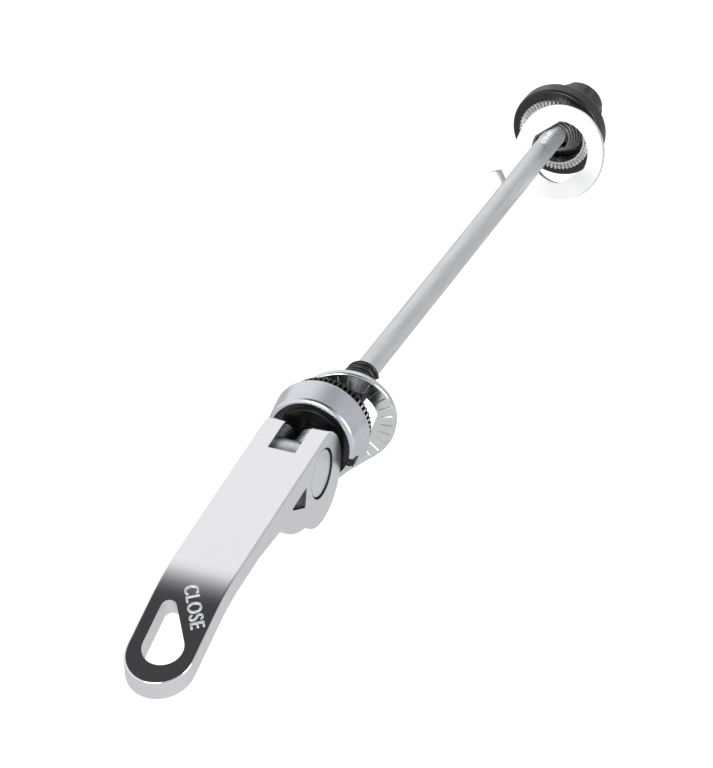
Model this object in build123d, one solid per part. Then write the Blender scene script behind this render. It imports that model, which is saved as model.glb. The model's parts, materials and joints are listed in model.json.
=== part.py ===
from build123d import *
import math
import os

# Quick release skewer for a bicycle hub, in millimetres.
# The rod runs along +Y, the lever pivots about X, and Z is up.
# The origin is on the rod's axis, in the plane of the clamp teeth at the lever end.

# Rod
rod_d = 5.0
rod_chamfer = 0.6
rod_seat_depth = 3.6        # how far the rod reaches past the pivot into the barrel
rod_fit = 0.02              # the rod is screwed tight into the barrel
thread_fit = 0.05           # running clearance of the nut's thread
rod_slip = 0.4              # clearance of the pieces that slide along the rod

# Places along the rod
pivot_setback = 20.2        # clamp teeth to lever pivot
clamp_span = 135.2          # teeth at the lever end to teeth at the nut end

# Lever
lever_w = 14.2
lever_reach = 70.9          # pivot to tip
lever_rest_tilt = 7.2       # the lever rests this far past the line of the rod
blade_height = 6.9          # top face above the pivot
blade_t = 4.3
root_taper_start = 32.0     # from here the blade thickens towards the heel
root_extra_t = 1.6
bend_start = 41.6           # pivot to the start of the bend
bend_angle = 14.4
bend_r = 44.0
slot_w = 6.0
slot_setback = 3.6          # the slot ends this far behind the pivot
lever_edge_r = 0.45
ear_corner_r = 4.5

# Cam on the lever's ears
cam_r = 10.2
cam_throw = 1.8             # cam centre below the pivot
cam_gap = 0.85              # slack between cam and saddle with the lever loose
heel_end = 20.5             # where the heel runs out into the blade
heel_belly_setback = 13.5   # the heel's round underside passes through this point
heel_belly_drop = 5.3
heel_setback = 8.2          # the heel's underside meets the cam here
heel_drop = 7.6
heel_blend_r = 1.5
heel_notch_r = 0.8

# Grip hole in the lever, a teardrop round two circles that share one straight side
grip_r = 4.2
grip_setback = 62.6
grip_neck_r = 1.6
grip_neck_setback = 53.7
grip_offset = 0.1

# Relief pocket in each side of the lever, between barrel and heel
relief_depth = 2.2
relief_top = 2.4
relief_low = -2.0
relief_front = 7.7
relief_low_setback = 9.0
relief_back = 15.8
relief_corner_r = 0.35

# Barrel pin
pin_d = 10.6
pin_fit = 0.05
pin_recess = 0.3
pin_chamfer = 0.4

# Clamp cup
cup_rear_r = 10.8
cup_front_r = 9.9
cup_wall_len = 6.0          # rear edge to the start of the lip
cup_lip_r = 1.0
cup_floor_t = 2.0
cup_edge_r = 0.5
cup_rear_setback = 3.0      # clamp teeth to the cup's rear edge

# Cam saddle
saddle_fit = 0.05
saddle_proud = 0.1          # saddle face in front of the cup's lip
saddle_step_w = 1.3
saddle_step_h = 0.6
saddle_edge_r = 0.25
trough_r = 16.0
lug_w = 1.8
lug_h = 1.8
lug_reach = 0.3             # lug beyond the cup's wall
lug_angle = -18.0
lug_gap = 0.1

# Serrated clamp rings, one at each end
cup_ring_r = 10.0           # the part that seats in the cup
cup_flange_r = 10.6         # the flange behind the cup
cup_ring_t = 4.0
nut_ring_r = 8.6
nut_ring_t = 3.2
ring_hole_r = 6.9
ring_land = 0.4             # plain rim inside the teeth
ring_fit = 0.05
tooth_count = 54
cup_tooth_depth = 0.4
nut_tooth_depth = 0.8
tooth_gap_share = 0.7       # part of the tooth pitch, measured at the land, that the gap takes
tooth_root_share = 0.15     # width of the gap's root, as a part of the gap
notch_depth = 0.9           # notches round the cup ring's flange
notch_w = 0.42
notch_count = 72
notch_collar = 0.9          # plain edge between notches and teeth

# Tab washers
washer_r = 10.9
washer_t = 1.5
washer_hole_r = 7.1
washer_flats = 12.4
washer_edge_r = 0.5
tongue_reach = 16.8
tongue_w = 7.0
tab_len = 5.0
tab_bend_r = 1.0
washer_tooth_count = 28
washer_tooth_depth = 0.15
washer_tooth_in_r = 7.6
washer_tooth_out_r = 10.2

# How the loose washers hang on the rod: centre, lean about X, swing about Z, spin in their own plane
lever_washer_x = 1.1
lever_washer_back = 6.3     # clamp teeth to the washer's centre
lever_washer_drop = 2.9
lever_washer_lean = 0.0
lever_washer_swing = 14.4
lever_washer_spin = 108.0
nut_washer_x = 3.4
nut_washer_back = 5.1       # nut teeth to the washer's centre
nut_washer_drop = 1.1
nut_washer_lean = -22.0
nut_washer_swing = -7.5
nut_washer_spin = 138.0

# Springs
lever_spring_wire = 1.0
lever_spring_big_r = 3.4
lever_spring_small_r = 3.1
lever_spring_turns = 13.0
lever_spring_len = 22.3
nut_spring_wire = 0.7
nut_spring_big_r = 5.9
nut_spring_small_r = 3.2
nut_spring_turns = 6.0
nut_spring_len = 4.8
spring_gap = 0.1

# Adjusting nut
nut_flange_r = 10.8
nut_flange_t = 4.3
nut_flange_edge_r = 0.8
nut_ring_proud = 1.2
nut_recess_depth = 3.4
nut_stem_len = 11.9
nut_stem_r = 6.1
nut_stem_end_r = 5.7
nut_stem_edge_r = 0.8
flute_count = 6
flute_r = 2.4
flute_depth = 0.7
flute_start = 2.0           # flange to the first of the flutes
insert_r = 4.0
insert_len = 9.0
insert_fit = 0.03
nut_end_slip = 0.5

# Sizes that follow from those above
rod_r = rod_d / 2
pin_r = pin_d / 2
pivot_y = -pivot_setback
half_w = lever_w / 2
bore_r = rod_r + rod_slip
cup_rear_y = -cup_rear_setback
cup_lip_y = cup_rear_y - cup_wall_len
cup_front_y = cup_lip_y - cup_lip_r
cup_floor_y = -cup_ring_t
cup_inner_floor_y = cup_floor_y - cup_floor_t
cup_bore_r = cup_front_r - cup_lip_r
saddle_r = cup_bore_r - saddle_fit
saddle_front_y = cup_front_y - saddle_proud
nut_face_y = clamp_span + nut_ring_proud
nut_recess_y = nut_face_y + nut_recess_depth
nut_flange_y = nut_face_y + nut_flange_t
nut_end_y = nut_flange_y + nut_stem_len
rod_end_y = nut_end_y - rod_chamfer
long_cut = 4 * lever_w


def revolved(points):
    """A solid of revolution about the rod from (radius, place along the rod) points."""
    outline = make_face(Polyline(*points, close=True))
    return revolve(outline, Axis.Y)


def rod_cylinder(radius, start, end):
    """A plain cylinder along the rod's axis."""
    disc = Plane.XZ.offset(-start) * Circle(radius)
    return extrude(disc, start - end)


def lever():
    """The cast lever: blade with a bend, two cam ears round a slot, and a heel under the root."""
    bend_centre = (-bend_start, blade_height - bend_r)
    top_arc = CenterArc(bend_centre, bend_r, 90, bend_angle)
    low_arc = CenterArc(bend_centre, bend_r - blade_t, 90, bend_angle)
    along = Vector(-math.cos(math.radians(bend_angle)), -math.sin(math.radians(bend_angle)))
    run_out = along * lever_reach
    low_z = blade_height - blade_t
    root_z = low_z - root_extra_t
    blade = make_face([
        Line((0, blade_height), top_arc @ 0),
        top_arc,
        Line(top_arc @ 1, (top_arc @ 1) + run_out),
        Line((top_arc @ 1) + run_out, (low_arc @ 1) + run_out),
        Line((low_arc @ 1) + run_out, low_arc @ 1),
        low_arc,
        Polyline(low_arc @ 0, (-root_taper_start, low_z), (-heel_end, root_z), (0, root_z), (0, blade_height)),
    ])
    ear_top = Pos(0, blade_height - cam_r) * Rectangle(4 * cam_r, 2 * cam_r)
    cam = (Pos(0, -cam_throw) * Circle(cam_r)) & ear_top
    belly = ThreePointArc(
        (-heel_end, root_z), (-heel_belly_setback, -heel_belly_drop), (-heel_setback, -heel_drop),
    )
    heel = make_face([belly, Polyline(belly @ 1, (0, -heel_drop), (0, root_z), belly @ 0)])
    profile = blade + cam + heel
    for corner, radius in (
        ((cam_r, blade_height), ear_corner_r),
        ((-heel_end, root_z), heel_blend_r),
        ((-heel_setback, -heel_drop), heel_notch_r),
    ):
        profile = fillet(profile.vertices().sort_by_distance(corner)[0], radius)

    tip_centre = half_w - lever_reach
    plan_len = cam_r - tip_centre
    plan = Pos(0, tip_centre + plan_len / 2) * Rectangle(lever_w, plan_len)
    plan += Pos(0, tip_centre) * Circle(half_w)
    solid = extrude(Plane.YZ * profile, half_w, both=True) & extrude(plan, long_cut, both=True)
    solid = fillet(solid.edges(), lever_edge_r)

    slot_len = slot_setback + 2 * cam_r
    solid -= Pos(0, slot_len / 2 - slot_setback, 0) * Box(slot_w, slot_len, long_cut)
    solid -= Rot(Y=90) * Cylinder(pin_r + pin_fit, long_cut)
    solid -= grip_hole()
    for side in (1, -1):
        solid -= side_relief(side)
    return Pos(0, pivot_y, 0) * Rot(X=lever_rest_tilt) * solid


def grip_hole():
    """The teardrop cut, square to the bent end of the blade."""
    neck_x = grip_offset - grip_r + grip_neck_r
    turn = math.radians(bend_angle)
    straight = grip_setback - bend_start - bend_r * math.sin(turn)
    fall = bend_r * (1 - math.cos(turn)) + straight * math.tan(turn)
    frame = Plane(
        origin=(0, -grip_setback, blade_height - fall),
        x_dir=(1, 0, 0),
        z_dir=(0, -math.sin(turn), math.cos(turn)),
    )
    neck_at = (neck_x, (grip_setback - grip_neck_setback) / math.cos(turn))
    outline = make_hull([
        *(Pos(grip_offset, 0) * Circle(grip_r)).edges(),
        *(Pos(*neck_at) * Circle(grip_neck_r)).edges(),
    ])
    return extrude(frame * outline, 3 * blade_t, both=True)


def side_relief(side):
    """The three-cornered pocket in one side of the lever."""
    outline = make_face(Polyline(
        (-relief_front, relief_top),
        (-relief_back, relief_top),
        (-relief_low_setback, relief_low),
        close=True,
    ))
    outline = fillet(outline.vertices(), relief_corner_r)
    inner = half_w - relief_depth
    pocket = extrude(Plane.YZ * outline, relief_depth + lever_edge_r)
    start = inner if side > 0 else -half_w - lever_edge_r
    return Pos(start, 0, 0) * pocket


def barrel_pin():
    """The barrel that the lever turns on, with a blind hole for the rod."""
    solid = Rot(Y=90) * Cylinder(pin_r, lever_w - 2 * pin_recess)
    solid = chamfer(solid.edges(), pin_chamfer)
    solid = Pos(0, pivot_y, 0) * solid
    return solid - rod_cylinder(rod_r + rod_fit, pivot_y - rod_seat_depth, pivot_y + pin_d)


def skewer_rod():
    """The steel rod, from the barrel to just inside the nut's open end."""
    solid = rod_cylinder(rod_r, pivot_y - rod_seat_depth, rod_end_y)
    far_edge = solid.edges().sort_by(Axis.Y)[-1]
    return chamfer(far_edge, rod_chamfer)


def saddle_lug(extra, reach, low, high):
    """The key on one side of the saddle, or the notch that takes it."""
    width = lug_w + 2 * extra
    block = Pos(reach / 2, (low + high) / 2, 0) * Box(reach, high - low, width)
    return Rot(Y=-lug_angle) * block


def clamp_cup():
    """The plated cup: a slightly conical wall with a rounded lip, and a floor between ring and saddle."""
    lip = CenterArc((cup_bore_r, cup_lip_y), cup_lip_r, 0, -90)
    seat_r = cup_ring_r + ring_fit
    outline = make_face([
        Line((bore_r, cup_inner_floor_y), (bore_r, cup_floor_y)),
        Line((bore_r, cup_floor_y), (seat_r, cup_floor_y)),
        Line((seat_r, cup_floor_y), (seat_r, cup_rear_y)),
        Line((seat_r, cup_rear_y), (cup_rear_r, cup_rear_y)),
        Line((cup_rear_r, cup_rear_y), (cup_front_r, cup_lip_y)),
        lip,
        Line((cup_bore_r, cup_front_y), (cup_bore_r, cup_inner_floor_y)),
        Line((cup_bore_r, cup_inner_floor_y), (bore_r, cup_inner_floor_y)),
    ])
    rear_corner = outline.vertices().sort_by_distance((cup_rear_r, cup_rear_y))[0]
    outline = fillet(rear_corner, cup_edge_r)
    solid = revolve(outline, Axis.Y)
    notch_low = cup_front_y - cup_lip_r
    notch_high = saddle_front_y + saddle_step_h + lug_h + lug_gap
    return solid - saddle_lug(lug_gap, 2 * cup_rear_r, notch_low, notch_high)


def cam_saddle():
    """The plastic seat in the cup, with a shallow trough for the cam ears."""
    step_y = saddle_front_y + saddle_step_h
    step_r = saddle_r - saddle_step_w
    outline = make_face(Polyline(
        (bore_r, cup_inner_floor_y), (bore_r, saddle_front_y), (step_r, saddle_front_y), (step_r, step_y),
        (saddle_r, step_y), (saddle_r, cup_inner_floor_y), close=True,
    ))
    for corner in ((step_r, saddle_front_y), (saddle_r, step_y)):
        outline = fillet(outline.vertices().sort_by_distance(corner)[0], saddle_edge_r)
    solid = revolve(outline, Axis.Y)
    lug = saddle_lug(0, cup_front_r + lug_reach, step_y, step_y + lug_h)
    solid += lug - rod_cylinder(step_r, step_y - lug_h, step_y + 2 * lug_h)
    trough_y = pivot_y + cam_r + cam_gap
    trough = Pos(0, trough_y - trough_r, 0) * Rot(Y=90) * Cylinder(trough_r, long_cut)
    return solid - trough


def serrated_ring(outer_r, thickness, depth):
    """A hardened ring with radial teeth on its +Y face, which lies in the plane of the origin."""
    solid = revolved([
        (ring_hole_r, -thickness), (outer_r, -thickness), (outer_r, 0), (ring_hole_r, 0),
    ])
    start_r = ring_hole_r + ring_land
    half_gap = tooth_gap_share * math.pi * start_r / tooth_count
    half_root = tooth_root_share * half_gap
    groove = make_face(Polyline(
        (-half_gap, 0), (-half_root, -depth), (half_root, -depth), (half_gap, 0),
        (half_gap, depth), (-half_gap, depth), close=True,
    ))
    cutter = extrude(Plane.XY.offset(start_r) * groove, outer_r)
    return solid - [Rot(Y=360 * i / tooth_count) * cutter for i in range(tooth_count)]


def cup_ring():
    """The serrated ring that bears on the frame at the lever end, with a notched flange behind the cup."""
    flange_t = cup_rear_setback - ring_fit
    solid = serrated_ring(cup_flange_r, flange_t, cup_tooth_depth)
    solid += rod_cylinder(cup_ring_r, cup_floor_y, -flange_t) - rod_cylinder(ring_hole_r, 2 * cup_floor_y, 0)
    notch_len = flange_t - notch_collar
    notch_mid = -notch_collar - notch_len / 2
    notch = Pos(cup_flange_r, notch_mid, 0) * Box(2 * notch_depth, notch_len, notch_w)
    return solid - [Rot(Y=360 * i / notch_count) * notch for i in range(notch_count)]


def nut_ring():
    """The serrated ring that bears on the frame at the nut end."""
    solid = serrated_ring(nut_ring_r, nut_ring_t, nut_tooth_depth)
    return Pos(0, clamp_span, 0) * Rot(X=180) * solid


def tab_washer_flat():
    """A tab washer in the XY plane: teeth on the +Z face, tongue along +X, tab bent to -Z."""
    half_t = washer_t / 2
    straight_end = tongue_reach - tab_bend_r - washer_t
    tongue_end = Line((straight_end, -tongue_w / 2), (straight_end, tongue_w / 2))
    outline = make_hull([*Circle(washer_r).edges(), tongue_end])
    outline -= Circle(washer_hole_r) & Rectangle(3 * washer_hole_r, washer_flats)
    plate = extrude(outline, half_t, both=True)
    rim = plate.faces().sort_by(Axis.Z)[-1].outer_wire().edges()
    plate = fillet(rim.sort_by(Axis.X)[:-1], washer_edge_r)
    plate += bent_tab(straight_end)
    groove_len = washer_tooth_out_r - washer_tooth_in_r
    groove = make_face(Polyline(
        (-washer_tooth_depth, half_t), (0, half_t - washer_tooth_depth), (washer_tooth_depth, half_t),
        (washer_tooth_depth, washer_t), (-washer_tooth_depth, washer_t), close=True,
    ))
    cutter = extrude(Plane.YZ.offset(washer_tooth_in_r) * groove, groove_len)
    return plate - [Rot(Z=360 * i / washer_tooth_count) * cutter for i in range(washer_tooth_count)]


def bent_tab(start):
    """The end of the tongue, turned down square in a rounded bend."""
    half_t = washer_t / 2
    centre = (start, -half_t - tab_bend_r)
    outer = CenterArc(centre, tab_bend_r + washer_t, 90, -90)
    inner = CenterArc(centre, tab_bend_r, 90, -90)
    low = centre[1] - tab_len + tab_bend_r
    section = make_face([
        outer,
        Line(outer @ 1, ((outer @ 1).X, low)),
        Line(((outer @ 1).X, low), ((inner @ 1).X, low)),
        Line(((inner @ 1).X, low), inner @ 1),
        inner,
        Line(inner @ 0, outer @ 0),
    ])
    return extrude(Plane.XZ * section, tongue_w / 2, both=True)


def hung(facing, at, lean, swing, spin):
    """A tab washer hung on the rod, with its teeth turned to the lever (1) or to the nut (-1)."""
    upright = Rot(Y=spin) * Rot(X=90 * facing) * tab_washer_flat()
    return Pos(*at) * Rot(Z=swing) * Rot(X=lean) * upright


def lever_washer():
    """The loose tab washer behind the clamp cup."""
    at = (lever_washer_x, lever_washer_back, -lever_washer_drop)
    return hung(1, at, lever_washer_lean, lever_washer_swing, lever_washer_spin)


def tab_washer():
    """The loose tab washer in front of the nut."""
    at = (nut_washer_x, clamp_span - nut_washer_back, -nut_washer_drop)
    return hung(-1, at, nut_washer_lean, nut_washer_swing, nut_washer_spin)


def conical_spring(wire, big_r, small_r, turns, length):
    """A conical spring about Z, its big end at the bottom."""
    lean = math.degrees(math.atan2(small_r - big_r, length))
    path = Helix(pitch=length / turns, height=length, radius=big_r, cone_angle=lean)
    section = Plane(origin=path @ 0, z_dir=path % 0) * Circle(wire / 2)
    return sweep(section, path=path, is_frenet=True)


def lever_spring():
    """The spring between the cup and the hub, its small end towards the hub."""
    solid = conical_spring(
        lever_spring_wire, lever_spring_big_r, lever_spring_small_r, lever_spring_turns, lever_spring_len,
    )
    start = cup_floor_y + lever_spring_wire / 2 + spring_gap
    return Pos(0, start, 0) * Rot(X=-90) * solid


def nut_spring():
    """The spring in the nut's recess, its small end towards the hub."""
    solid = conical_spring(
        nut_spring_wire, nut_spring_big_r, nut_spring_small_r, nut_spring_turns, nut_spring_len,
    )
    start = nut_recess_y - nut_spring_wire / 2 - spring_gap
    return Pos(0, start, 0) * Rot(X=90) * solid


def nut_shell():
    """The moulded nut body: a flange with the ring's seat, and a fluted stem."""
    seat_r = nut_ring_r + ring_fit
    seat_y = clamp_span + nut_ring_t
    hold_r = insert_r + insert_fit
    insert_y = nut_recess_y + insert_len
    end_r = rod_r + nut_end_slip
    outline = make_face(Polyline(
        (seat_r, nut_face_y), (nut_flange_r, nut_face_y), (nut_flange_r, nut_flange_y),
        (nut_stem_r, nut_flange_y), (nut_stem_end_r, nut_end_y), (end_r, nut_end_y),
        (end_r, insert_y), (hold_r, insert_y), (hold_r, nut_recess_y), (ring_hole_r, nut_recess_y),
        (ring_hole_r, seat_y), (seat_r, seat_y), close=True,
    ))
    for corner in ((nut_flange_r, nut_face_y), (nut_flange_r, nut_flange_y)):
        outline = fillet(outline.vertices().sort_by_distance(corner)[0], nut_flange_edge_r)
    end_corner = outline.vertices().sort_by_distance((nut_stem_end_r, nut_end_y))[0]
    outline = fillet(end_corner, nut_stem_edge_r)
    solid = revolve(outline, Axis.Y)
    flute_y = nut_flange_y + flute_start
    flute_at = nut_stem_r - flute_depth + flute_r
    flute = Pos(flute_at, 0, 0) * rod_cylinder(flute_r, flute_y, nut_end_y + nut_stem_len)
    return solid - [Rot(Y=360 * i / flute_count) * flute for i in range(flute_count)]


def thread_insert():
    """The threaded metal bush held in the nut body."""
    return rod_cylinder(insert_r, nut_recess_y, nut_recess_y + insert_len) - rod_cylinder(
        rod_r + thread_fit, nut_recess_y - insert_len, nut_recess_y + 2 * insert_len
    )


os.makedirs("parts", exist_ok=True)
for piece in (
    lever, barrel_pin, skewer_rod, clamp_cup, cam_saddle, cup_ring, lever_washer, lever_spring,
    tab_washer, nut_spring, nut_ring, nut_shell, thread_insert,
):
    export_step(piece(), f"parts/{piece.__name__}.step")
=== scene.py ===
import json
import math

import bmesh
import bpy
from mathutils import Matrix, Vector


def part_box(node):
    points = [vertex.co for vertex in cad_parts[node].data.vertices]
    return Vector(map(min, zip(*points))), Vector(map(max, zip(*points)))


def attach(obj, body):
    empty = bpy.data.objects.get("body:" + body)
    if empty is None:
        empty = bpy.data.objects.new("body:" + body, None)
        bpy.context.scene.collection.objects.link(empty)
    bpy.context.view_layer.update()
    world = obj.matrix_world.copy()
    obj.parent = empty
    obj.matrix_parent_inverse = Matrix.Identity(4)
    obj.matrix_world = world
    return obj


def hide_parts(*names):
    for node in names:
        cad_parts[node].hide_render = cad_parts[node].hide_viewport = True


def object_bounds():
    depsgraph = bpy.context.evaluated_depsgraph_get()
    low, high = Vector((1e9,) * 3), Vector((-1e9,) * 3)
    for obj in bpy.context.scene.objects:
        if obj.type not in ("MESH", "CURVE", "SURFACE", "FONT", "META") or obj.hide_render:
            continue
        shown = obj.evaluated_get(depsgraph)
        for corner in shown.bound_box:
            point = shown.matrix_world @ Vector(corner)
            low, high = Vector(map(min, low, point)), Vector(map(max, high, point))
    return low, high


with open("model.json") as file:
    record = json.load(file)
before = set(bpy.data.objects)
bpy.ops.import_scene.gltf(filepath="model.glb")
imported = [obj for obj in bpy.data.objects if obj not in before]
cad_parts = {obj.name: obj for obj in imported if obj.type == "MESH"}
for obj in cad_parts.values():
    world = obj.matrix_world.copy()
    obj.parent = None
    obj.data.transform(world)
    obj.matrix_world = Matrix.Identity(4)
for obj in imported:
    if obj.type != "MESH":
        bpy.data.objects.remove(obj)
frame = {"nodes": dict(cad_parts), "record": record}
nodes = frame["nodes"]
record = frame["record"]
bpy.context.view_layer.update()
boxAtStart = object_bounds()
mm = 0.001
origin = (0, 0, 0)
rodAxis = (0, 1, 0)
print("frame loaded:", len(nodes), "nodes")


# small helpers for node materials

noiseLow = 0.3  # nearly all of a noise texture's values lie between these two
noiseHigh = 0.7


def newFinish(name, color, metallic, roughness):
    finish = bpy.data.materials.new(name)
    finish.use_nodes = True
    shader = finish.node_tree.nodes["Principled BSDF"]
    shader.inputs["Base Color"].default_value = (*color, 1)
    shader.inputs["Metallic"].default_value = metallic
    shader.inputs["Roughness"].default_value = roughness
    return finish, shader


def addNode(finish, kind, **values):
    node = finish.node_tree.nodes.new(kind)
    for name, value in values.items():
        node.inputs[name].default_value = value
    return node


def join(finish, output, target):
    finish.node_tree.links.new(output, target)


def objectPlace(finish, scale=(1, 1, 1)):
    place = addNode(finish, "ShaderNodeTexCoord")
    mapping = addNode(finish, "ShaderNodeMapping", Scale=scale)
    join(finish, place.outputs["Object"], mapping.inputs["Vector"])
    return mapping.outputs["Vector"]


def noise(finish, place, scale, detail=3.0):
    grain = addNode(finish, "ShaderNodeTexNoise", Scale=scale, Detail=detail)
    join(finish, place, grain.inputs["Vector"])
    return grain.outputs["Fac"]


def spread(finish, value, low, high, start=noiseLow, end=noiseHigh):
    ranged = addNode(finish, "ShaderNodeMapRange")
    ranged.inputs["From Min"].default_value = start
    ranged.inputs["From Max"].default_value = end
    ranged.inputs["To Min"].default_value = low
    ranged.inputs["To Max"].default_value = high
    join(finish, value, ranged.inputs["Value"])
    return ranged.outputs["Result"]


def arithmetic(finish, operation, first, second=None):
    node = addNode(finish, "ShaderNodeMath")
    node.operation = operation
    join(finish, first, node.inputs[0])
    if second is not None:
        join(finish, second, node.inputs[1])
    return node.outputs["Value"]


def bump(finish, shader, height, strength, depth):
    relief = addNode(finish, "ShaderNodeBump", Strength=strength, Distance=depth)
    join(finish, height, relief.inputs["Height"])
    join(finish, relief.outputs["Normal"], shader.inputs["Normal"])


def tint(finish, shader, value, dark, light):
    ramp = addNode(finish, "ShaderNodeValToRGB")
    ramp.color_ramp.elements[0].position = noiseLow
    ramp.color_ramp.elements[0].color = (*dark, 1)
    ramp.color_ramp.elements[1].position = noiseHigh
    ramp.color_ramp.elements[1].color = (*light, 1)
    join(finish, value, ramp.inputs["Fac"])
    join(finish, ramp.outputs["Color"], shader.inputs["Base Color"])


def facing(finish, axis):
    # how far a face looks along one of the object's own axes, from 0 to 1
    place = addNode(finish, "ShaderNodeTexCoord")
    split = addNode(finish, "ShaderNodeSeparateXYZ")
    join(finish, place.outputs["Normal"], split.inputs["Vector"])
    return arithmetic(finish, "ABSOLUTE", split.outputs[axis])


def coordinate(finish, axis):
    split = addNode(finish, "ShaderNodeSeparateXYZ")
    join(finish, objectPlace(finish), split.inputs["Vector"])
    return split.outputs[axis]


def distance(finish, first, second, middle=(0, 0)):
    # how far a point lies from a line that runs along the third axis
    away = []
    for axis, centre in zip((first, second), middle):
        shift = addNode(finish, "ShaderNodeMath")
        shift.operation = "SUBTRACT"
        shift.inputs[1].default_value = centre
        join(finish, coordinate(finish, axis), shift.inputs[0])
        away.append(arithmetic(finish, "MULTIPLY", shift.outputs[0], shift.outputs[0]))
    return arithmetic(finish, "SQRT", arithmetic(finish, "ADD", *away))


def blend(finish, shader, factor, color):
    # lays another colour over the base colour where the factor is 1
    mixed = addNode(finish, "ShaderNodeMix")
    mixed.data_type = "RGBA"
    base = shader.inputs["Base Color"]
    mixed.inputs["A"].default_value = base.default_value
    if base.is_linked:
        join(finish, base.links[0].from_socket, mixed.inputs["A"])
    mixed.inputs["B"].default_value = (*color, 1)
    join(finish, factor, mixed.inputs["Factor"])
    join(finish, mixed.outputs["Result"], base)


# lever: mirror plating on top, satin on the outer sides, painted shade on the slot's inner walls and
# painted shadow round the pin's hole, a pale word

leverChrome = dict(color=(0.84, 0.84, 0.86), polish=0.06, satin=0.3, sideFrom=0.55, sideTo=0.95,
                   uprightFrom=0.25, uprightTo=0.6, outerFrom=6.3 * mm, outerTo=6.7 * mm,
                   armFrom=-38 * mm, armTo=-42 * mm, inside=(0.2, 0.2, 0.21),
                   pivot=(-20.2 * mm, 0), holeFrom=5.5 * mm, holeTo=5.4 * mm, pinHoleShade=(0.06, 0.06, 0.06),
                   wordColor=(0.88, 0.88, 0.88), wordRough=0.5, grain=900, grainRough=0.04,
                   peel=1600, peelDetail=2, peelStrength=0.1, peelDepth=0.05 * mm)


def makeLeverChrome():
    look = leverChrome
    finish, shader = newFinish("leverChrome", look["color"], 1, look["polish"])
    place = objectPlace(finish)
    sideways = spread(finish, facing(finish, "X"), 0, 1, look["sideFrom"], look["sideTo"])
    upright = spread(finish, facing(finish, "Z"), 1, 0, look["uprightFrom"], look["uprightTo"])
    across = arithmetic(finish, "ABSOLUTE", coordinate(finish, "X"))
    outer = spread(finish, across, 0, 1, look["outerFrom"], look["outerTo"])
    arm = spread(finish, coordinate(finish, "Y"), 0, 1, look["armFrom"], look["armTo"])
    cast = arithmetic(finish, "MAXIMUM", outer, arm)
    # painted shade: the slot's inner side walls, which the lever's own sides keep from the light, are
    # darkened in colour
    slotShadeMask = spread(finish, cast, 1, 0, 0, 1)
    blend(finish, shader, arithmetic(finish, "MULTIPLY", sideways, slotShadeMask), look["inside"])
    # painted shadow: a near-black ring on the lever's side round the pin's hole, standing in for the shade
    # in the gap
    fromPivot = distance(finish, "Y", "Z", look["pivot"])
    hole = spread(finish, fromPivot, 0, 1, look["holeFrom"], look["holeTo"])
    blend(finish, shader, hole, look["pinHoleShade"])
    raised = addNode(finish, "ShaderNodeAttribute")
    raised.attribute_name = "raised"
    blend(finish, shader, raised.outputs["Fac"], look["wordColor"])
    castSides = arithmetic(finish, "MULTIPLY", upright, cast)
    sides = spread(finish, castSides, look["polish"], look["satin"], 0, 1)
    letters = spread(finish, raised.outputs["Fac"], look["polish"], look["wordRough"], 0, 1)
    cloud = spread(finish, noise(finish, place, look["grain"]), 0, look["grainRough"])
    dull = arithmetic(finish, "MAXIMUM", sides, letters)
    join(finish, arithmetic(finish, "ADD", dull, cloud), shader.inputs["Roughness"])
    peel = noise(finish, place, look["peel"], look["peelDetail"])
    bump(finish, shader, peel, look["peelStrength"], look["peelDepth"])
    return finish


# clamp cup: satin plating with faint turning marks

cupChrome = dict(dark=(0.69, 0.71, 0.74), light=(0.73, 0.75, 0.79), roughness=(0.24, 0.3), grain=300,
                 turning=6000, turningStretch=(0.02, 1, 0.02), turningDetail=2, turningStrength=0.06,
                 turningDepth=0.03 * mm)


def makeCupChrome():
    look = cupChrome
    finish, shader = newFinish("cupChrome", look["light"], 1, look["roughness"][0])
    cloud = noise(finish, objectPlace(finish), look["grain"])
    tint(finish, shader, cloud, look["dark"], look["light"])
    join(finish, spread(finish, cloud, *look["roughness"]), shader.inputs["Roughness"])
    stretched = objectPlace(finish, scale=look["turningStretch"])
    turned = noise(finish, stretched, look["turning"], look["turningDetail"])
    bump(finish, shader, turned, look["turningStrength"], look["turningDepth"])
    return finish


# tab washers: bright plating on pressed steel; the one at the nut has painted light, a near-white colour,
# and is duller

washerChrome = dict(dark=(0.72, 0.73, 0.735), light=(0.78, 0.79, 0.795), roughness=(0.14, 0.19), grain=1200,
                    ripple=500, rippleStrength=0.1, rippleDepth=0.03 * mm, nutEndPaintedLight=(0.98, 0.98, 0.985),
                    nutFrom=60 * mm, nutTo=90 * mm, nutRough=0.16)


def makeWasherChrome():
    look = washerChrome
    finish, shader = newFinish("washerChrome", look["light"], 1, look["roughness"][0])
    place = objectPlace(finish)
    cloud = noise(finish, place, look["grain"])
    tint(finish, shader, cloud, look["dark"], look["light"])
    along = coordinate(finish, "Y")
    # painted light: the washer at the nut end is blended to near white, standing in for the light it
    # catches
    blend(finish, shader, spread(finish, along, 0, 1, look["nutFrom"], look["nutTo"]), look["nutEndPaintedLight"])
    duller = spread(finish, along, 0, look["nutRough"], look["nutFrom"], look["nutTo"])
    rough = arithmetic(finish, "ADD", spread(finish, cloud, *look["roughness"]), duller)
    join(finish, rough, shader.inputs["Roughness"])
    bump(finish, shader, noise(finish, place, look["ripple"]), look["rippleStrength"], look["rippleDepth"])
    return finish


# rod, barrel pin and nut insert: zinc plate on drawn steel, with painted shade in the thread's roots

zincPlate = dict(dark=(0.68, 0.69, 0.7), light=(0.8, 0.81, 0.82), roughness=(0.34, 0.46), grain=1500,
                 drawn=(1, 0.06, 1), drawnDetail=5, drawnStrength=0.1, drawnDepth=0.04 * mm,
                 barrelEnd=(0.84, 0.85, 0.86), endFrom=5 * mm, endTo=5.5 * mm,
                 root=(0.1, 0.1, 0.1), rootFrom=2.48 * mm, rootTo=2.2 * mm, flatFrom=0.9, flatTo=0.95)


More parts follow.
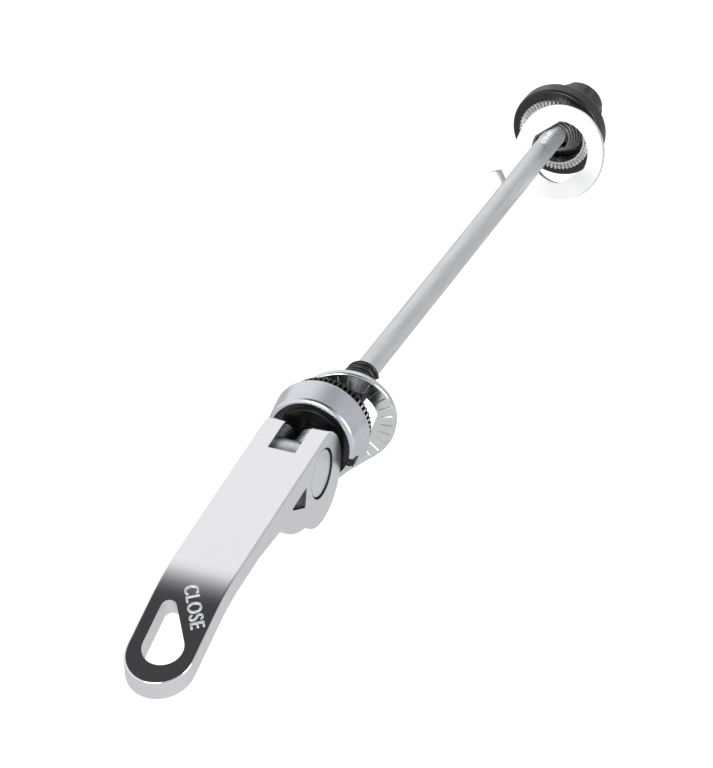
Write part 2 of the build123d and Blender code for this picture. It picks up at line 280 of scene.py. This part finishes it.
def makeZincPlate():
    look = zincPlate
    finish, shader = newFinish("zincPlate", look["light"], 1, look["roughness"][0])
    stretched = objectPlace(finish, scale=look["drawn"])
    drawn = noise(finish, stretched, look["grain"], look["drawnDetail"])
    tint(finish, shader, drawn, look["dark"], look["light"])
    across = arithmetic(finish, "ABSOLUTE", coordinate(finish, "X"))
    blend(finish, shader, spread(finish, across, 0, 1, look["endFrom"], look["endTo"]), look["barrelEnd"])
    # painted shade: the thread's roots, below the crest radius, are darkened as if in their own shadow
    rootShadeMask = spread(finish, distance(finish, "X", "Z"), 0, 1, look["rootFrom"], look["rootTo"])
    notEnd = spread(finish, facing(finish, "Y"), 1, 0, look["flatFrom"], look["flatTo"])
    blend(finish, shader, arithmetic(finish, "MULTIPLY", rootShadeMask, notEnd), look["root"])
    speck = noise(finish, objectPlace(finish), look["grain"])
    join(finish, spread(finish, speck, *look["roughness"]), shader.inputs["Roughness"])
    bump(finish, shader, drawn, look["drawnStrength"], look["drawnDepth"])
    return finish


# ring and spring in the nut: bare hardened steel, darker on the spring's wire

ringSteel = dict(dark=(0.66, 0.66, 0.66), light=(0.92, 0.92, 0.91), roughness=(0.2, 0.34), grain=1800,
                 grainDetail=4, grainStrength=0.15, grainDepth=0.1 * mm,
                 wire=(0.3, 0.3, 0.3), wireFrom=6.6 * mm, wireTo=6.4 * mm)


def makeRingSteel():
    look = ringSteel
    finish, shader = newFinish("ringSteel", look["light"], 1, look["roughness"][0])
    cloud = noise(finish, objectPlace(finish), look["grain"], look["grainDetail"])
    tint(finish, shader, cloud, look["dark"], look["light"])
    wire = spread(finish, distance(finish, "X", "Z"), 0, 1, look["wireFrom"], look["wireTo"])
    blend(finish, shader, wire, look["wire"])
    join(finish, spread(finish, cloud, *look["roughness"]), shader.inputs["Roughness"])
    bump(finish, shader, cloud, look["grainStrength"], look["grainDepth"])
    return finish


# spring and ring at the lever end: black oxide with a soft shine, and painted highlights in bright
# bare-metal colour on the ring's lands low down

blackOxide = dict(dark=(0.03, 0.03, 0.032), light=(0.085, 0.085, 0.09), roughness=(0.26, 0.4), grain=2500,
                  grainStrength=0.1, grainDepth=0.05 * mm, metallic=0.85, paintedHighlight=(0.92, 0.92, 0.93),
                  landFrom=9.5 * mm, landTo=9.56 * mm, edgeFrom=-0.44 * mm, edgeTo=-0.48 * mm,
                  highlightLowFrom=7 * mm, highlightLowTo=5.5 * mm)


def makeBlackOxide():
    look = blackOxide
    finish, shader = newFinish("blackOxide", look["dark"], look["metallic"], look["roughness"][0])
    cloud = noise(finish, objectPlace(finish), look["grain"])
    tint(finish, shader, cloud, look["dark"], look["light"])
    # painted highlight: the rim's lands before the teeth, on the lower part of the ring, are given a bright
    # bare-metal colour
    land = spread(finish, distance(finish, "X", "Z"), 0, 1, look["landFrom"], look["landTo"])
    beforeTeeth = spread(finish, coordinate(finish, "Y"), 0, 1, look["edgeFrom"], look["edgeTo"])
    lowDown = spread(finish, coordinate(finish, "Z"), 0, 1, look["highlightLowFrom"], look["highlightLowTo"])
    highlightMask = arithmetic(finish, "MULTIPLY", arithmetic(finish, "MULTIPLY", land, beforeTeeth), lowDown)
    blend(finish, shader, highlightMask, look["paintedHighlight"])
    join(finish, spread(finish, cloud, *look["roughness"]), shader.inputs["Roughness"])
    bump(finish, shader, cloud, look["grainStrength"], look["grainDepth"])
    return finish


# moulded plastics: the saddle smooth, the nut a little rougher

blackPlastic = dict(dark=(0.006, 0.006, 0.0065), light=(0.011, 0.011, 0.0115), roughness=(0.2, 0.28),
                    grain=2200, grainDetail=4, grainStrength=0.15, grainDepth=0.04 * mm)
nutPlastic = dict(dark=(0.007, 0.007, 0.0075), light=(0.013, 0.013, 0.014), roughness=(0.22, 0.32),
                  grain=3200, grainDetail=4, grainStrength=0.15, grainDepth=0.08 * mm)


def makePlastic(name, look):
    finish, shader = newFinish(name, look["dark"], 0, look["roughness"][0])
    cloud = noise(finish, objectPlace(finish), look["grain"], look["grainDetail"])
    tint(finish, shader, cloud, look["dark"], look["light"])
    join(finish, spread(finish, cloud, *look["roughness"]), shader.inputs["Roughness"])
    bump(finish, shader, cloud, look["grainStrength"], look["grainDepth"])
    return finish


finishes = dict(
    lever_chrome=makeLeverChrome(), cup_chrome=makeCupChrome(), washer_chrome=makeWasherChrome(),
    zinc_plate=makeZincPlate(), ring_steel=makeRingSteel(), black_oxide=makeBlackOxide(),
    black_plastic=makePlastic("blackPlastic", blackPlastic),
    nut_plastic=makePlastic("nutPlastic", nutPlastic),
)
for entry in record["subparts"]:
    cadMesh = nodes[entry["node"]].data
    cadMesh.materials.clear()
    cadMesh.materials.append(finishes[entry["material_slot"]])
print("finishes made:", len(finishes))


# helpers for new pieces

def newPiece(name, bm, slot, body):
    mesh = bpy.data.meshes.new(name)
    bm.to_mesh(mesh)
    bm.free()
    piece = bpy.data.objects.new(name, mesh)
    bpy.context.scene.collection.objects.link(piece)
    mesh.materials.append(finishes[slot])
    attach(piece, body)
    return piece


def closeMesh(bm, gap=0.001 * mm):
    bmesh.ops.remove_doubles(bm, verts=bm.verts, dist=gap)
    bmesh.ops.recalc_face_normals(bm, faces=bm.faces)


def shadeSmooth(bm, angle):
    for face in bm.faces:
        face.smooth = True
    for edge in bm.edges:
        edge.smooth = len(edge.link_faces) == 2 and edge.calc_face_angle(0) < math.radians(angle)


# rod with its rolled thread at both ends

rodThread = dict(pitch=0.8 * mm, depth=0.46 * mm, root=0.12 * mm, crest=0.14 * mm, stepsPerTurn=40,
                 spareTurns=2, weld=0.01 * mm, nutEndFrom=126.2 * mm, leverEndTo=-8.6 * mm,
                 chamfer=0.6 * mm, shankSteps=64, sharp=22)


def threadStretch(radius, start, end):
    look = rodThread
    bm = bmesh.new()
    turns = math.ceil((end - start) / look["pitch"]) + look["spareTurns"]
    flank = (look["pitch"] - look["root"] - look["crest"]) / 2
    rootRadius = radius - look["depth"]
    section = [(rootRadius, 0), (rootRadius, look["root"]), (radius, look["root"] + flank),
               (radius, look["root"] + flank + look["crest"]), (rootRadius, look["pitch"])]
    low = start - look["spareTurns"] * look["pitch"]
    points = [bm.verts.new((across, low + along, 0)) for across, along in section]
    lines = [bm.edges.new(pair) for pair in zip(points, points[1:])]
    bmesh.ops.spin(bm, geom=points + lines, cent=origin, axis=rodAxis, angle=2 * math.pi * turns,
                   steps=look["stepsPerTurn"] * turns, dvec=(0, look["pitch"] / look["stepsPerTurn"], 0))
    closeMesh(bm, look["weld"])
    for cut, atStart in ((start, True), (end, False)):
        everything = bm.verts[:] + bm.edges[:] + bm.faces[:]
        bmesh.ops.bisect_plane(bm, geom=everything, plane_co=(0, cut, 0), plane_no=rodAxis,
                               clear_inner=atStart, clear_outer=not atStart)
    bmesh.ops.holes_fill(bm, edges=[edge for edge in bm.edges if edge.is_boundary])
    closeMesh(bm)
    return bm


def makeRod():
    look = rodThread
    low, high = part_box("skewer_rod")
    radius = (high.x - low.x) / 2
    shank = bmesh.new()
    outline = [(0, look["leverEndTo"]), (radius, look["leverEndTo"]), (radius, look["nutEndFrom"]),
               (0, look["nutEndFrom"])]
    points = [shank.verts.new((across, along, 0)) for across, along in outline]
    lines = [shank.edges.new(pair) for pair in zip(points, points[1:])]
    bmesh.ops.spin(shank, geom=points + lines, cent=origin, axis=rodAxis, angle=2 * math.pi,
                   steps=look["shankSteps"], use_merge=True)
    closeMesh(shank)
    whole = bmesh.new()
    stretches = (shank, threadStretch(radius, low.y, look["leverEndTo"]),
                 threadStretch(radius, look["nutEndFrom"], high.y))
    for stretch in stretches:
        part = bpy.data.meshes.new("rodStretch")
        stretch.to_mesh(part)
        stretch.free()
        whole.from_mesh(part)
        bpy.data.meshes.remove(part)
    chamferFrom = high.y - look["chamfer"]
    for vert in whole.verts:
        around = math.hypot(vert.co.x, vert.co.z)
        allowed = radius - (vert.co.y - chamferFrom)
        if vert.co.y > chamferFrom and around > allowed:
            vert.co.x *= allowed / around
            vert.co.z *= allowed / around
    shadeSmooth(whole, look["sharp"])
    rod = newPiece("threadedRod", whole, "zinc_plate", "skewer")
    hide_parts("skewer_rod")


makeRod()
print("rod threaded")


# notched ring behind the cup, in its node's place, with fine teeth on the face toward the nut

clampRing = dict(hole=6.9 * mm, seat=9.95 * mm, rim=9.65 * mm, seatTo=-3.05 * mm, rimFrom=-2.95 * mm,
                 notchFrom=-2.6 * mm, notchTo=-0.46 * mm, notchFloor=8.9 * mm, toothDepth=0.4 * mm,
                 teeth=54, stepsPerTooth=3, landSteps=1, rootStep=2, near=0.01 * mm, nearStep=0.1, sharp=15)


def toothStep(place):
    # how many steps into its tooth a point lies, going round the ring
    look = clampRing
    steps = look["teeth"] * look["stepsPerTooth"]
    return math.atan2(place.z, place.x) / (2 * math.pi) * steps % look["stepsPerTooth"]


def makeClampRing():
    look = clampRing
    low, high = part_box("cup_ring")
    bm = bmesh.new()
    outline = [(look["hole"], low.y), (look["seat"], low.y), (look["seat"], look["seatTo"]),
               (look["rim"], look["rimFrom"]), (look["rim"], look["notchFrom"]),
               (look["rim"], look["notchTo"]), (look["rim"], high.y), (look["hole"], high.y)]
    points = [bm.verts.new((across, along, 0)) for across, along in outline]
    lines = [bm.edges.new(pair) for pair in zip(points, points[1:] + points[:1])]
    bmesh.ops.spin(bm, geom=points + lines, cent=origin, axis=rodAxis, angle=2 * math.pi,
                   steps=look["teeth"] * look["stepsPerTooth"], use_merge=True)
    closeMesh(bm)
    # past its land, each tooth's rim goes down into a notch
    notchMiddle = (look["notchFrom"] + look["notchTo"]) / 2
    notches = []
    for face in bm.faces:
        middle = face.calc_center_median()
        inBand = abs(middle.y - notchMiddle) < look["near"]
        onRim = math.hypot(middle.x, middle.z) > look["notchFloor"]
        if inBand and onRim and toothStep(middle) > look["landSteps"]:
            notches.append(face)
    # on the face, one line of points in each tooth goes back to its root
    for vert in bm.verts:
        atRoot = abs(toothStep(vert.co) - look["rootStep"]) < look["nearStep"]
        if atRoot and vert.co.y > high.y - look["near"]:
            vert.co.y -= look["toothDepth"]
    pushed = bmesh.ops.extrude_face_region(bm, geom=notches)["geom"]
    bmesh.ops.delete(bm, geom=notches, context="FACES")  # left in, they would cover the notches
    inward = look["notchFloor"] / look["rim"]
    bmesh.ops.scale(bm, vec=(inward, 1, inward),
                    verts=[item for item in pushed if isinstance(item, bmesh.types.BMVert)])
    closeMesh(bm)
    shadeSmooth(bm, look["sharp"])
    ring = newPiece("clampRing", bm, "black_oxide", "clamp_head")
    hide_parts("cup_ring")


makeClampRing()
print("ring notched")


# raised word on the lever, across the end of the bend

leverWord = dict(word="CLOSE", length=10.4 * mm, height=2.9 * mm, rise=0.25 * mm, sink=0.3 * mm,
                 middle=(2.35 * mm, -52.3 * mm), turn=-59.3, spacing=1.12, thickness=0.06,
                 edge=0.02, edgeSteps=3, thin=-0.015)
leverBlade = dict(top=6.9 * mm, bendStart=41.6 * mm, bendRadius=44.0 * mm, bendAngle=14.4, restTilt=7.2)


def bladeDrop(along):
    # how far the blade's top face has fallen at this distance behind the pivot
    blade = leverBlade
    turn = math.radians(blade["bendAngle"])
    past = max(along - blade["bendStart"], 0)
    arcRun = blade["bendRadius"] * math.sin(turn)
    if past < arcRun:
        return blade["bendRadius"] - math.sqrt(blade["bendRadius"] ** 2 - past ** 2)
    return blade["bendRadius"] * (1 - math.cos(turn)) + (past - arcRun) * math.tan(turn)


def makeLeverWord():
    look = leverWord
    text = bpy.data.curves.new("leverWord", "FONT")
    text.body = look["word"]
    text.extrude = look["thickness"]
    text.bevel_depth = look["edge"]
    text.bevel_resolution = look["edgeSteps"]
    text.offset = look["thin"]
    text.space_character = look["spacing"]
    writer = bpy.data.objects.new("wordWriter", text)
    bpy.context.scene.collection.objects.link(writer)
    bpy.context.view_layer.update()
    flat = bpy.data.meshes.new_from_object(writer.evaluated_get(bpy.context.evaluated_depsgraph_get()))
    bpy.data.objects.remove(writer)
    bm = bmesh.new()
    bm.from_mesh(flat)
    bpy.data.meshes.remove(flat)
    closeMesh(bm)
    low = [min(vert.co[axis] for vert in bm.verts) for axis in range(3)]
    high = [max(vert.co[axis] for vert in bm.verts) for axis in range(3)]
    bmesh.ops.translate(bm, verts=bm.verts, vec=(-(low[0] + high[0]) / 2, -(low[1] + high[1]) / 2, 0))
    size = [wanted / (end - start) for wanted, start, end in
            zip((look["length"], look["height"], look["rise"] + look["sink"]), low, high)]
    bmesh.ops.scale(bm, verts=bm.verts, vec=size)
    bmesh.ops.translate(bm, verts=bm.verts, vec=(0, 0, (look["rise"] - look["sink"]) / 2))
    turn = Matrix.Rotation(math.radians(look["turn"]), 3, "Z")
    bmesh.ops.rotate(bm, verts=bm.verts, cent=origin, matrix=turn)
    bmesh.ops.translate(bm, verts=bm.verts, vec=(*look["middle"], leverBlade["top"]))
    for vert in bm.verts:
        vert.co.z -= bladeDrop(-vert.co.y)
    tilt = Matrix.Rotation(math.radians(leverBlade["restTilt"]), 3, "X")
    bmesh.ops.rotate(bm, verts=bm.verts, cent=origin, matrix=tilt)
    pivot = [joint for joint in record["behaviour"]["joints"] if joint["name"] == "lever_pivot"][0]
    bmesh.ops.translate(bm, verts=bm.verts, vec=pivot["pos_m"])
    raised = bm.verts.layers.float.new("raised")
    for vert in bm.verts:
        vert[raised] = 1
    newPiece("leverWord", bm, "lever_chrome", "lever_arm")


makeLeverWord()
print("lever lettered")


# studio: white floor, two soft lamps, and walls that the plating reflects: dark overhead, grey to the right

studio = dict(
    floorDrop=58 * mm, floorSize=6.0, floorColor=(0.78, 0.78, 0.78), floorRough=0.9, floorGlow=0.66,
    wall=(0.95, 0.95, 0.97), white=(1, 1, 1),
    overhead=dict(toward=(0, 0, 1), start=0.725, full=0.92, color=(0.06, 0.06, 0.063)),
    right=dict(toward=(1, 0, 0), start=-0.15, full=0.35, color=(0.6, 0.6, 0.61)),
    front=dict(toward=(0, -1, 0), start=0.45, full=0.75, color=(1.05, 1.05, 1.03)),
)
studioLamps = dict(
    keyLamp=dict(place=(-0.15, -0.8, 0.65), target=(0, 0.02, 0), size=0.5, energy=3.0),
    sideLamp=dict(place=(0.85, -0.1, 0.35), target=(0, 0.02, 0), size=0.5, energy=3.0),
)


def makeFloor():
    bm = bmesh.new()
    bmesh.ops.create_grid(bm, x_segments=1, y_segments=1, size=studio["floorSize"])
    bmesh.ops.translate(bm, verts=bm.verts, vec=(0, 0, boxAtStart[0].z - studio["floorDrop"]))
    mesh = bpy.data.meshes.new("floor")
    bm.to_mesh(mesh)
    bm.free()
    floor = bpy.data.objects.new("floor", mesh)
    bpy.context.scene.collection.objects.link(floor)
    finish, shader = newFinish("floorWhite", studio["floorColor"], 0, studio["floorRough"])
    glow = addNode(finish, "ShaderNodeEmission")
    rays = addNode(finish, "ShaderNodeLightPath")
    strength = addNode(finish, "ShaderNodeMath")
    strength.operation = "MULTIPLY"
    strength.inputs[1].default_value = studio["floorGlow"]
    join(finish, rays.outputs["Is Camera Ray"], strength.inputs[0])
    join(finish, strength.outputs[0], glow.inputs["Strength"])
    both = addNode(finish, "ShaderNodeAddShader")
    join(finish, shader.outputs["BSDF"], both.inputs[0])
    join(finish, glow.outputs["Emission"], both.inputs[1])
    join(finish, both.outputs["Shader"], finish.node_tree.nodes["Material Output"].inputs["Surface"])
    mesh.materials.append(finish)


def worldTone(tree, direction, base, tone):
    # runs from the base colour to the tone's own colour in the directions that point its way
    along = tree.nodes.new("ShaderNodeVectorMath")
    along.operation = "DOT_PRODUCT"
    along.inputs[1].default_value = Vector(tone["toward"]).normalized()
    tree.links.new(direction, along.inputs[0])
    ramp = tree.nodes.new("ShaderNodeMapRange")
    ramp.data_type = "FLOAT_VECTOR"
    ramp.interpolation_type = "SMOOTHSTEP"
    vectorSockets = ramp.inputs[7:11]  # by place, because the single-value sockets share their names
    values = ((tone["start"],) * 3, (tone["full"],) * 3, base, tone["color"])
    for socket, value in zip(vectorSockets, values):
        socket.default_value = value
    tree.links.new(along.outputs["Value"], ramp.inputs["Vector"])
    return ramp.outputs["Vector"]


def makeWorld():
    world = bpy.data.worlds.new("studio")
    world.use_nodes = True
    bpy.context.scene.world = world
    tree = world.node_tree
    rays = tree.nodes.new("ShaderNodeLightPath")
    direction = tree.nodes.new("ShaderNodeTexCoord").outputs["Generated"]
    walls = worldTone(tree, direction, studio["wall"], studio["overhead"])
    for side in (studio["right"], studio["front"]):
        product = tree.nodes.new("ShaderNodeVectorMath")
        product.operation = "MULTIPLY"
        tree.links.new(walls, product.inputs[0])
        tree.links.new(worldTone(tree, direction, studio["white"], side), product.inputs[1])
        walls = product.outputs["Vector"]
    backdrop = tree.nodes.new("ShaderNodeMix")
    backdrop.data_type = "RGBA"
    backdrop.inputs["B"].default_value = (*studio["white"], 1)
    tree.links.new(rays.outputs["Is Camera Ray"], backdrop.inputs["Factor"])
    tree.links.new(walls, backdrop.inputs["A"])
    tree.links.new(backdrop.outputs["Result"], tree.nodes["Background"].inputs["Color"])


def makeLamp(name, look):
    data = bpy.data.lights.new(name, "AREA")
    data.shape = "DISK"
    data.size = look["size"]
    data.energy = look["energy"]
    lamp = bpy.data.objects.new(name, data)
    lamp.location = look["place"]
    toward = Vector(look["target"]) - Vector(look["place"])
    lamp.rotation_euler = toward.to_track_quat("-Z", "Y").to_euler()
    bpy.context.scene.collection.objects.link(lamp)


makeFloor()
makeWorld()
for lampName, lampLook in studioLamps.items():
    makeLamp(lampName, lampLook)
bpy.context.scene.view_settings.view_transform = "Standard"
print("studio made")


# camera at the photograph's angle

photoCamera = dict(azimuth=21.929, elevation=31.201, roll=0.818, distance=0.92586,
                   aim=(0.004697, 0.003682, 0.007340), focalPixels=4500, pictureWidth=713, sensor=36)


def makeCamera():
    look = photoCamera
    data = bpy.data.cameras.new("photoCamera")
    data.sensor_fit = "HORIZONTAL"
    data.sensor_width = look["sensor"]
    data.lens = look["sensor"] * look["focalPixels"] / look["pictureWidth"]
    camera = bpy.data.objects.new("photoCamera", data)
    turn = Matrix.Rotation(math.radians(look["azimuth"]), 4, "Z")
    turn @= Matrix.Rotation(math.radians(90 - look["elevation"]), 4, "X")
    turn @= Matrix.Rotation(math.radians(look["roll"]), 4, "Z")
    away = turn @ Vector((0, 0, look["distance"]))
    camera.matrix_world = Matrix.Translation(Vector(look["aim"]) + away) @ turn
    bpy.context.scene.collection.objects.link(camera)
    bpy.context.scene.camera = camera


makeCamera()
print("camera placed")

bpy.context.view_layer.update()
